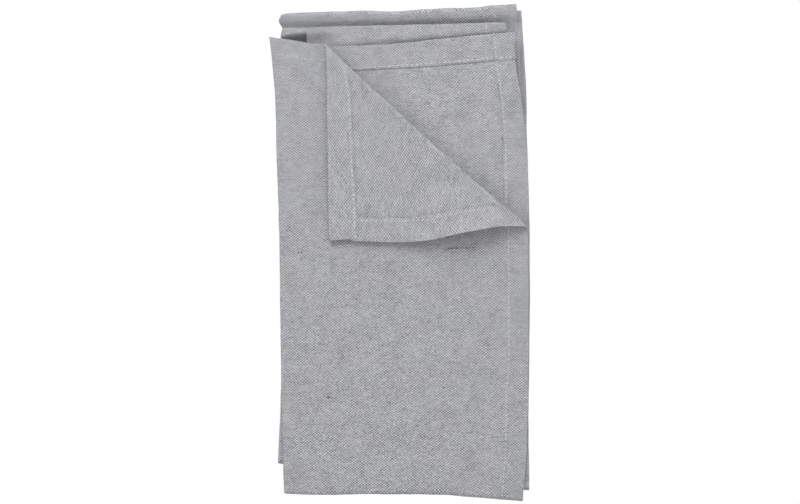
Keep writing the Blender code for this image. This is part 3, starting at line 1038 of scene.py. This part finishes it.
def slub_lines():
    """A short line on the cloth for each slub, with the way out of the cloth at its points."""
    cloth_tree = BVHTree.FromPolygons(
        [v.co for v in runner_mesh.vertices], [p.vertices for p in runner_mesh.polygons]
    )
    verts, edges, outs = [], [], []
    for slub in SLUBS:
        heading = Vector((math.cos(math.radians(slub.turn)), math.sin(math.radians(slub.turn)), 0.0))
        count = max(1, round(slub.length / SLUB_PITCH))
        start = len(verts)
        for k in range(count + 1):
            above = Vector((slub.x, slub.y, 1.0)) + heading * (slub.length * k / count)
            place, way, _, _ = cloth_tree.ray_cast(above, Vector((0.0, 0.0, -1.0)))
            verts.append(place)
            outs.append(way)
        edges += [(start + k, start + k + 1) for k in range(count)]
    return line_mesh("slub_lines", verts, edges, outs)


def slub_material():
    """Dark flecked yarn."""
    material, tree, shader = matt_material("slub_yarn", roughness=0.9, specular=0.2)
    place = tree.nodes.new("ShaderNodeTexCoord").outputs["Object"]
    flecks = cloud(tree, place, SLUB_FLECKS)
    colour = two_colours(tree, flecks, (0.35, SLUB_DARK), (0.65, SLUB_LIGHT))
    tree.links.new(colour, shader.inputs["Base Color"])
    return material


slubs = made_by(
    stitching,
    slub_lines(),
    "slubs",
    Thread=slub_material(),
    Pitch=SLUB_PITCH,
    Length=SLUB_LENGTH,
    Width=SLUB_WIDTH,
    Height=SLUB_HEIGHT,
)
for piece in (runner, face_stitches, back_stitches, slubs):
    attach(piece, "root")
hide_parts("table_runner")


# Floor
# A plain white sheet under the cloth. The camera sees it pure white, as a photograph that was cut out, and
# the cloth gets the weaker light of a real floor from it.
FLOOR_HALF = 4.0
FLOOR_TONE = 0.50


def floor_material():
    """Evenly white where it is seen, and a plain pale floor to the light that it sends on."""
    material, tree, shader = matt_material("floor", roughness=0.9, specular=0.0)
    shader.inputs["Base Color"].default_value = (FLOOR_TONE, FLOOR_TONE, FLOOR_TONE, 1.0)
    white = tree.nodes.new("ShaderNodeEmission")
    seen_by = tree.nodes.new("ShaderNodeLightPath")
    choice = tree.nodes.new("ShaderNodeMixShader")
    tree.links.new(seen_by.outputs["Is Camera Ray"], choice.inputs["Fac"])
    tree.links.new(shader.outputs["BSDF"], choice.inputs[1])
    tree.links.new(white.outputs["Emission"], choice.inputs[2])
    tree.links.new(choice.outputs["Shader"], tree.nodes["Material Output"].inputs["Surface"])
    return material


floor_mesh = bpy.data.meshes.new("floor")
floor_mesh.from_pydata(
    [(x * FLOOR_HALF, y * FLOOR_HALF, 0.0) for x, y in ((-1, -1), (1, -1), (1, 1), (-1, 1))],
    [],
    [(0, 1, 2, 3)],
)
floor_mesh.materials.append(floor_material())
floor = bpy.data.objects.new("floor", floor_mesh)
bpy.context.scene.collection.objects.link(floor)


# Light
# A pale room all round, so that each step in the cloth throws a soft shadow, and one broad soft lamp that
# stands beyond the pack's top end.
ROOM_LEVELS = [(0.00, 0.60), (0.20, 0.95), (0.60, 1.00), (1.00, 0.80)]
ROOM_STRENGTH = 0.825
LAMP_PLACE = Vector((-0.3, 1.8, 1.45))
LAMP_SIZE = 1.0
LAMP_POWER = 26.0

world = bpy.data.worlds.new("room")
world.use_nodes = True
room = world.node_tree
facing = room.nodes.new("ShaderNodeTexCoord").outputs["Generated"]
upward = room.nodes.new("ShaderNodeSeparateXYZ")
room.links.new(facing, upward.inputs[0])
walls = room.nodes.new("ShaderNodeValToRGB")
while len(walls.color_ramp.elements) < len(ROOM_LEVELS):
    walls.color_ramp.elements.new(0.5)
for stop, (place, level) in zip(walls.color_ramp.elements, ROOM_LEVELS):
    stop.position = place
    stop.color = (level, level, level, 1.0)
room.links.new(upward.outputs["Z"], walls.inputs["Fac"])
room.links.new(walls.outputs["Color"], room.nodes["Background"].inputs["Color"])
room.nodes["Background"].inputs["Strength"].default_value = ROOM_STRENGTH
bpy.context.scene.world = world
lamp_data = bpy.data.lights.new("lamp", "AREA")
lamp_data.shape = "SQUARE"
lamp_data.size = LAMP_SIZE
lamp_data.energy = LAMP_POWER
lamp = bpy.data.objects.new("lamp", lamp_data)
lamp.location = LAMP_PLACE
lamp.rotation_euler = (-LAMP_PLACE).to_track_quat("-Z", "Y").to_euler()
lamp.visible_camera = False
bpy.context.scene.collection.objects.link(lamp)


# Camera
# Straight above the pack, as far off as a long lens needs for the photo's 645 mm of width.
VIEW_WIDTH = 0.645
SENSOR = 36.0
LENS = 120.0

camera_data = bpy.data.cameras.new("camera")
camera_data.lens = LENS
camera_data.sensor_width = SENSOR
camera = bpy.data.objects.new("camera", camera_data)
camera.location = (0.0, 0.0, TOP_LEVEL + PLY_REACH + VIEW_WIDTH * LENS / SENSOR)
camera.rotation_euler = Euler((0.0, 0.0, 0.0))
bpy.context.scene.collection.objects.link(camera)
bpy.context.scene.camera = camera
bpy.context.scene.view_settings.view_transform = "Standard"
